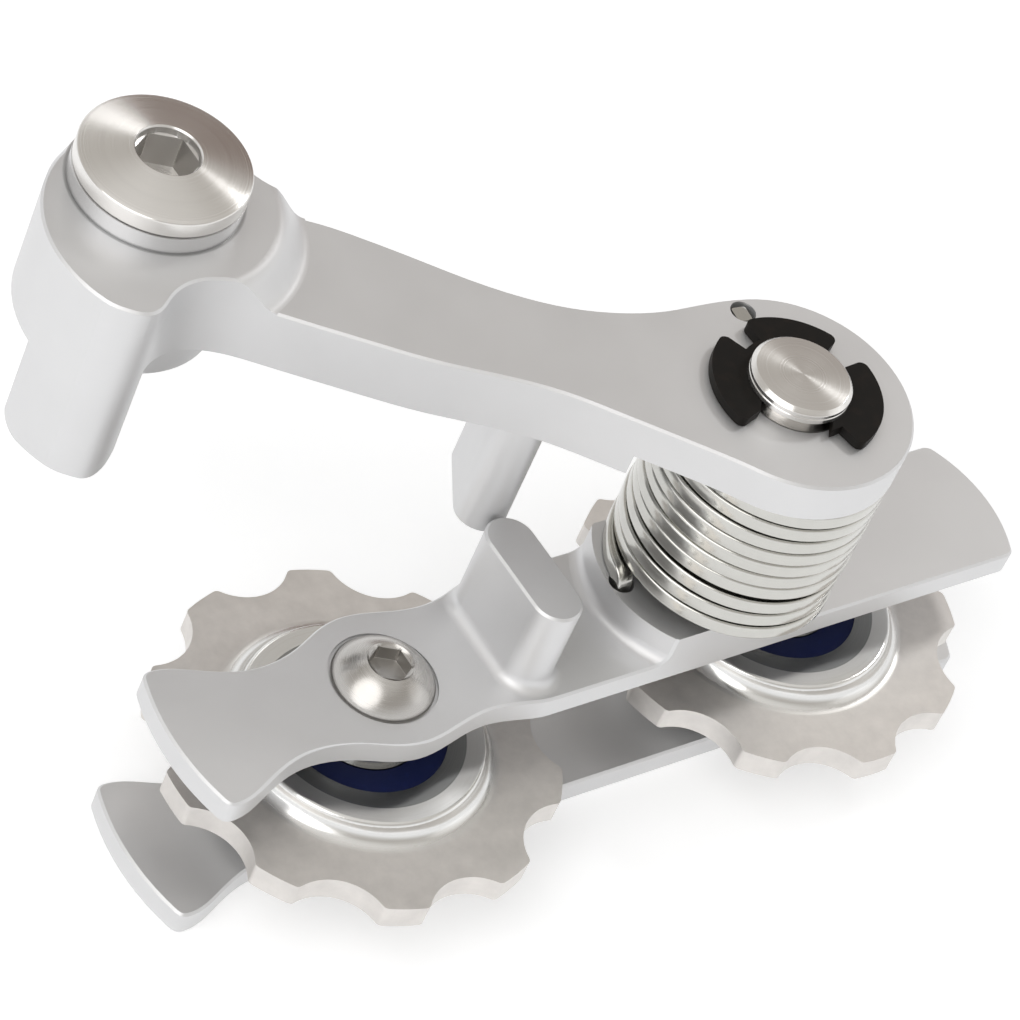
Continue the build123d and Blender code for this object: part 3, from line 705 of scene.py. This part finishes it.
class SpringSettings(bpy.types.PropertyGroup):
    wire_width: distance("Wire width", "Radial width of the spring wire", 1.9 * MM)
    wire_thickness: distance("Wire thickness", "Height of the spring wire", 1.72 * MM)
    wire_corner: distance("Wire corner", "Rounding of the wire's corners", 0.28 * MM)
    wire_bend: distance("Tang bend", "Bend radius at both tangs", 1.3 * MM)
    coil_radius: distance("Coil radius", "Pivot axis to the middle of the wire", 11.2 * MM)
    seat_height: distance("Seat height", "Height of the spring seat's top", -10.85 * MM)
    ceiling_height: distance("Arm height", "Underside of the arm over the spring", 10.7 * MM)
    turns: bpy.props.IntProperty(name="Turns", description="Whole turns of the coil", default=10)
    low_tang: direction("Lower tang", "Angle of the lower tang", 178.0)
    high_tang: direction("Upper tang", "Angle of the upper tang", 83.5)
    lean: bpy.props.FloatVectorProperty(
        name="Lean", description="How far the turns lie off the pivot's axis, along X and Y",
        default=(0.95 * MM, -0.30 * MM), size=2, subtype="XYZ", unit="LENGTH")
    tang_depth: distance("Tang depth", "How deep the lower tang goes into the seat", 2.6 * MM)
    tang_rise: distance("Tang rise", "How far the upper tang rises in the arm", 5.2 * MM)


class BoltSettings(bpy.types.PropertyGroup):
    thread_radius: distance("Thread radius", "Outer radius of the hanger thread", 5.0 * MM)
    thread_pitch: distance("Thread pitch", "Pitch of the hanger thread", 1.0 * MM)
    thread_depth: distance("Thread depth", "Depth of the hanger thread", 0.6 * MM)
    head_radius: distance("Head radius", "Radius of the hanger bolt's head", 8.95 * MM)
    socket_radius: distance("Socket radius", "Axis to flat in the hanger bolt's socket", 3.0 * MM)
    pin_radius: distance("Pin radius", "Radius of the pivot pin", 5.45 * MM)
    button_radius: distance("Button radius", "Radius of the wheel bolts' heads", 5.5 * MM)
    button_socket_radius: distance(
        "Button socket radius", "Axis to flat in the wheel bolts' sockets", 2.0 * MM)


class FinishSettings(bpy.types.PropertyGroup):
    aluminium: tint("Blasted aluminium", "Colour of the arm and the plates", (0.715, 0.715, 0.72))
    aluminium_rough: fraction("Blasted roughness", "Roughness of the blasted faces", 0.50)
    turned: tint("Turned aluminium", "Colour of the bolt and the pivot pin", (0.80, 0.785, 0.765))
    turned_rough: fraction("Turned roughness", "Roughness of the turned faces", 0.24)
    spacer_rough: fraction("Spacer roughness", "Roughness of the wheels' spacers", 0.26)
    wheel_face: tint("Wheel face", "Colour of the wheels' matte faces", (0.72, 0.695, 0.67))
    wheel_rough: fraction("Wheel roughness", "Roughness of the wheels' faces", 0.48)
    wheel_hub: tint("Wheel hub", "Colour of the wheels' hub rings", (0.80, 0.80, 0.79))
    wheel_hub_rough: fraction("Hub roughness", "Roughness of the wheels' hub rings", 0.21)
    wire: tint("Spring wire", "Colour of the plated wire", (0.60, 0.595, 0.565))
    wire_rough: fraction("Wire roughness", "Roughness of the plated wire", 0.16)
    stainless: tint("Stainless steel", "Colour of the button bolts", (0.52, 0.505, 0.485))
    stainless_rough: fraction("Stainless roughness", "Roughness of the button bolts", 0.26)
    bearing: tint("Bearing steel", "Colour of the bearing rings", (0.36, 0.37, 0.37))
    bearing_rough: fraction("Bearing roughness", "Roughness of the bearing rings", 0.17)
    balls: tint("Balls", "Colour of the bearing balls", (0.7, 0.7, 0.7))
    ball_rough: fraction("Ball roughness", "Roughness of the bearing balls", 0.1)
    ball_cage: tint("Ball cage", "Colour of the ball cages", (0.62, 0.58, 0.48))
    ball_cage_rough: fraction("Ball cage roughness", "Roughness of the ball cages", 0.5)
    seal: tint("Seal", "Colour of the bearing seals", (0.005, 0.010, 0.055))
    seal_rough: fraction("Seal roughness", "Roughness of the bearing seals", 0.45)
    clip: tint("Clip", "Colour of the black clips", (0.007, 0.006, 0.005))
    clip_worn: tint("Worn clip", "Colour of the clips' worn places", (0.016, 0.011, 0.008))
    clip_rough: fraction("Clip roughness", "Roughness of the black clips", 0.5)
    bronze: tint("Bush", "Colour of the plain bushes", (0.55, 0.40, 0.20))
    bronze_rough: fraction("Bush roughness", "Roughness of the plain bushes", 0.3)


class StageSettings(bpy.types.PropertyGroup):
    place: bpy.props.FloatVectorProperty(
        name="Camera place", description="Where the camera stands", subtype="TRANSLATION",
        unit="LENGTH", default=(-0.24739, -0.25187, 0.33427))
    azimuth: direction("Azimuth", "Camera's direction round the part", -51.778)
    elevation: direction("Elevation", "Camera's height over the part", 43.723)
    roll: direction("Roll", "Camera's turn about its own line of sight", 25.278)
    lens: bpy.props.FloatProperty(
        name="Lens", description="Focal length", default=170.276, unit="CAMERA")
    sky: tint("Ceiling", "Colour of the studio's ceiling in reflections", (0.55, 0.525, 0.49))
    overhead: tint("Overhead", "Colour straight above in reflections", (0.80, 0.78, 0.75))
    wall: tint("Far wall", "Colour of the studio's far wall in reflections", (0.22, 0.165, 0.14))
    light: fraction("Room light", "Strength of the room's light on the part", 0.6)
    floor_glow: fraction("Floor glow", "What the floor adds where it is seen", 0.34)
    key: power("Key", "Key lamp", 2.6)
    fill: power("Fill", "Fill lamp", 0.15)
    left_window: power("Left window", "Lamp of the streak on the head's left", 0.102)
    right_window: power("Right window", "Lamp of the streak on the head's right", 0.60)


# Operators


class TENSIONER_OT_arm(bpy.types.Operator):
    """Finishes the arm and its two bushes"""

    bl_idname = "tensioner.arm"
    bl_label = "Arm"

    def execute(self, context):
        finish = context.scene.tensioner_finish
        metal = blasted("arm_blasted", finish.aluminium, finish.aluminium_rough, ring=ARM_RING)
        cover(metal, "arm")
        for node, centre in (("hanger_bolt_bush", HANGER), ("pivot_bush", PIVOT)):
            bronze = turned(
                node + "_bronze", finish.bronze, finish.bronze_rough, centre, sheen=0.2)
            cover(bronze, node)
        return {"FINISHED"}


class TENSIONER_OT_hanger_bolt(bpy.types.Operator):
    """Turns the hanger bolt with its thread, head and socket"""

    bl_idname = "tensioner.hanger_bolt"
    bl_label = "Hanger bolt"

    def execute(self, context):
        finish, sizes = context.scene.tensioner_finish, context.scene.tensioner_bolt
        profile, six, depth = hanger_bolt_profile(sizes)
        thread = depth, sizes.thread_pitch
        bolt = lathe("hanger_bolt_turned", profile, HANGER, six, thread)
        metal = turned("bolt_turned", finish.turned, finish.turned_rough, HANGER,
                       socket=sizes.socket_radius + 0.42 * MM)
        place_piece(bolt, metal, "hanger_bolt_body", "turned_aluminium", "hanger_bolt")
        return {"FINISHED"}


class TENSIONER_OT_pivot_pin(bpy.types.Operator):
    """Turns the cage's pivot pin"""

    bl_idname = "tensioner.pivot_pin"
    bl_label = "Pivot pin"

    def execute(self, context):
        finish, sizes = context.scene.tensioner_finish, context.scene.tensioner_bolt
        seat = context.scene.tensioner_spring.seat_height / MM
        pin = lathe("pivot_pin_turned", pivot_pin_profile(sizes, seat), PIVOT)
        metal = turned("pin_turned", finish.turned, finish.turned_rough, PIVOT)
        place_piece(pin, metal, "cage_body", "turned_aluminium", "pivot_pin")
        return {"FINISHED"}


class TENSIONER_OT_clips(bpy.types.Operator):
    """Blackens the two retaining clips"""

    bl_idname = "tensioner.clips"
    bl_label = "Clips"

    def execute(self, context):
        finish = context.scene.tensioner_finish
        black = black_oxide("clip_black", finish.clip, finish.clip_worn, finish.clip_rough)
        cover(black, "hanger_bolt_clip", "pivot_clip")
        return {"FINISHED"}


class TENSIONER_OT_spring(bpy.types.Operator):
    """Winds the torsion spring, with its lower tang in the seat and its upper tang in the arm"""

    bl_idname = "tensioner.spring"
    bl_label = "Torsion spring"

    def execute(self, context):
        finish, sizes = context.scene.tensioner_finish, context.scene.tensioner_spring
        coil = wire_coil("torsion_spring_wire", sizes)
        metal = drawn_wire("wire_plated", finish.wire, finish.wire_rough)
        place_piece(coil, metal, None, "plated_spring_wire", "torsion_spring")
        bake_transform(coil)
        return {"FINISHED"}


class TENSIONER_OT_cage(bpy.types.Operator):
    """Finishes the two cage plates"""

    bl_idname = "tensioner.cage"
    bl_label = "Cage plates"

    def execute(self, context):
        finish = context.scene.tensioner_finish
        for node in ("outer_cage_plate", "inner_cage_plate"):
            cover(blasted(node + "_blasted", finish.aluminium, finish.aluminium_rough), node)
        return {"FINISHED"}


class TENSIONER_OT_button_bolts(bpy.types.Operator):
    """Turns the two button head wheel bolts"""

    bl_idname = "tensioner.button_bolts"
    bl_label = "Wheel bolts"

    def execute(self, context):
        finish, sizes = context.scene.tensioner_finish, context.scene.tensioner_bolt
        for node, centre, way in (("tension_wheel_bolt", TENSION, 1),
                                  ("guide_wheel_bolt", GUIDE, -1)):
            tip, top = sorted(way * height for height in heights(node))
            profile, six = button_bolt_profile(sizes, tip, top)
            piece = lathe(node + "_turned", profile * [1, way], centre, six)
            metal = turned(node + "_stainless", finish.stainless, finish.stainless_rough, centre,
                           sheen=0.2, lines=0.2 * MM, socket=sizes.button_socket_radius + 0.2 * MM)
            place_piece(piece, metal, "cage_body", "stainless_bolt", node)
        return {"FINISHED"}


class TENSIONER_OT_wheels(bpy.types.Operator):
    """Finishes the two toothed wheels"""

    bl_idname = "tensioner.wheels"
    bl_label = "Wheels"

    def execute(self, context):
        finish = context.scene.tensioner_finish
        for node, centre in (("tension_wheel", TENSION), ("guide_wheel", GUIDE)):
            cover(wheel_metal(node + "_metal", finish, centre), node)
        return {"FINISHED"}


class TENSIONER_OT_bearings(bpy.types.Operator):
    """Finishes the bearings' rings, balls, cages and seals, and the spacers"""

    bl_idname = "tensioner.bearings"
    bl_label = "Bearings and spacers"

    def execute(self, context):
        finish = context.scene.tensioner_finish
        for name, centre in (("tension", TENSION), ("guide", GUIDE)):
            bearing = name + "_bearing_"
            steel = ground_steel(
                name + "_ring_steel", finish.bearing, finish.bearing_rough, centre)
            rubber = moulded(
                name + "_seal_rubber", finish.seal, finish.seal_rough, centre, ribs=0.6)
            spacer = turned(
                name + "_spacer_turned", finish.turned, finish.spacer_rough, centre, sheen=0.4)
            nylon = moulded(
                name + "_cage_nylon", finish.ball_cage, finish.ball_cage_rough, centre)
            balls = ground_steel(name + "_ball_steel", finish.balls, finish.ball_rough, centre)
            cover(steel, bearing + "outer_ring", bearing + "inner_ring")
            cover(rubber, bearing + "outer_seal", bearing + "inner_seal")
            cover(spacer, name + "_outer_spacer", name + "_inner_spacer")
            cover(nylon, bearing + "ball_cage")
            cover(balls, bearing + "balls")
        return {"FINISHED"}


class TENSIONER_OT_stage(bpy.types.Operator):
    """Sets up the floor, the studio light and the camera"""

    bl_idname = "tensioner.stage"
    bl_label = "Stage"

    def execute(self, context):
        stage = context.scene.tensioner_stage
        self.floor(stage, low("inner_cage_plate")[2] - 0.05 * MM)
        self.world(context.scene, stage)
        for name, offset, width in LAMPS:
            self.lamp(name, Vector(offset), width, getattr(stage, name))
        self.camera(context.scene, stage)
        context.scene.view_settings.view_transform = "Standard"
        return {"FINISHED"}

    def floor(self, stage, height):
        """White floor, which glows a little where the camera or a reflection sees it."""
        side = 3.0
        corners = [(-side, -side, height), (side, -side, height),
                   (side, side, height), (-side, side, height)]
        mesh = bpy.data.meshes.new("floor")
        mesh.from_pydata(corners, [], [(0, 1, 2, 3)])
        plane = bpy.data.objects.new("floor", mesh)
        bpy.context.scene.collection.objects.link(plane)
        made = Finish("floor_white")
        grain = made.noise(made.place(), 4 * MM, 2.0)
        shader = made.node("ShaderNodeBsdfPrincipled", {}, {
            "Base Color": made.mixed(grain, (0.88, 0.88, 0.88), (0.90, 0.90, 0.90)),
            "Roughness": 0.9})
        glow = made.node("ShaderNodeEmission", {}, {
            "Color": (1, 1, 1, 1), "Strength": sum(made.seen_rays()).held() * stage.floor_glow})
        made.end(made.node("ShaderNodeAddShader", {}, {0: shader, 1: glow}))
        mesh.materials.append(made.owner)

    def world(self, scene, stage):
        """Even white light. Reflections show a white horizon, a ceiling and a dark far wall."""
        scene.world = bpy.data.worlds.new("studio")
        made = Finish("studio", scene.world)
        way = made.node("ShaderNodeTexCoord")
        _, _, up = made.parts(way)
        camera, glossy, through = made.seen_rays()
        far = made.node(
            "ShaderNodeVectorMath", {"operation": "DOT_PRODUCT"}, {0: way, 1: FAR_WALL_WAY},
            output=1)
        wall = made.step(far, 0.86, 0.97) * (1 - camera)
        ceiling = made.mixed(made.step(up, 0.25, 0.62), (1, 1, 1), stage.sky)
        ceiling = made.mixed(made.step(up, 0.74, 0.95), ceiling, stage.overhead)
        seen = made.node("ShaderNodeBackground", {}, {
            "Color": made.mixed(wall, ceiling, stage.wall), "Strength": 1.0})
        light = made.node("ShaderNodeBackground", {}, {
            "Color": (1, 1, 1, 1), "Strength": stage.light})
        both = made.node("ShaderNodeMixShader", {}, {
            0: (camera + glossy + through).held(), 1: light, 2: seen})
        made.end(both, "ShaderNodeOutputWorld")

    def lamp(self, name, offset, width, watts):
        """Round lamp that faces the part's middle."""
        data = bpy.data.lights.new(name, "AREA")
        data.shape, data.size, data.energy = "DISK", width, watts
        lamp = bpy.data.objects.new(name, data)
        lamp.location = PART_MIDDLE + offset
        lamp.rotation_mode = "QUATERNION"
        lamp.rotation_quaternion = offset.to_track_quat("Z", "Y")
        bpy.context.scene.collection.objects.link(lamp)

    def camera(self, scene, stage):
        """Camera at the photograph's place, turned by its azimuth, elevation and roll."""
        az, el, roll = stage.azimuth, stage.elevation, stage.roll
        back = Vector((math.sin(az) * math.cos(el), -math.cos(az) * math.cos(el), math.sin(el)))
        right = (-back).cross(Vector((0, 0, 1))).normalized()
        down = (-back).cross(right)
        across = right * math.cos(roll) - down * math.sin(roll)
        below = right * math.sin(roll) + down * math.cos(roll)
        turn = Matrix((across, -below, back)).transposed().to_4x4()
        data = bpy.data.cameras.new("photo_camera")
        data.lens, data.sensor_width = stage.lens, 36.0
        data.clip_start, data.clip_end = 0.01, 20.0
        camera = bpy.data.objects.new("photo_camera", data)
        camera.matrix_world = Matrix.Translation(stage.place) @ turn
        scene.collection.objects.link(camera)
        scene.camera = camera


class TENSIONER_PT_panel(bpy.types.Panel):
    """Lists the tensioner's operators"""

    bl_label = "Tensioner"
    bl_space_type = "VIEW_3D"
    bl_region_type = "UI"
    bl_category = "Tensioner"

    def draw(self, context):
        for operator in OPERATORS:
            self.layout.operator(operator.bl_idname)


OPERATORS = (
    TENSIONER_OT_arm, TENSIONER_OT_hanger_bolt, TENSIONER_OT_pivot_pin, TENSIONER_OT_clips,
    TENSIONER_OT_spring, TENSIONER_OT_cage, TENSIONER_OT_button_bolts, TENSIONER_OT_wheels,
    TENSIONER_OT_bearings, TENSIONER_OT_stage)
SETTINGS = {
    "tensioner_spring": SpringSettings, "tensioner_bolt": BoltSettings,
    "tensioner_finish": FinishSettings, "tensioner_stage": StageSettings}


def register():
    """Adds the settings, the operators and the panel to Blender."""
    for name, group in SETTINGS.items():
        bpy.utils.register_class(group)
        setattr(bpy.types.Scene, name, bpy.props.PointerProperty(type=group))
    for operator in OPERATORS:
        bpy.utils.register_class(operator)
    bpy.utils.register_class(TENSIONER_PT_panel)


def unregister():
    """Takes the panel, the operators and the settings out again."""
    bpy.utils.unregister_class(TENSIONER_PT_panel)
    for operator in reversed(OPERATORS):
        bpy.utils.unregister_class(operator)
    for name, group in SETTINGS.items():
        delattr(bpy.types.Scene, name)
        bpy.utils.unregister_class(group)


def main():
    """Makes every piece and the stage."""
    register()
    bpy.ops.tensioner.arm()
    bpy.ops.tensioner.hanger_bolt()
    bpy.ops.tensioner.pivot_pin()
    bpy.ops.tensioner.clips()
    bpy.ops.tensioner.spring()
    bpy.ops.tensioner.cage()
    bpy.ops.tensioner.button_bolts()
    bpy.ops.tensioner.wheels()
    bpy.ops.tensioner.bearings()
    bpy.ops.tensioner.stage()


if __name__ == "__main__":
    main()
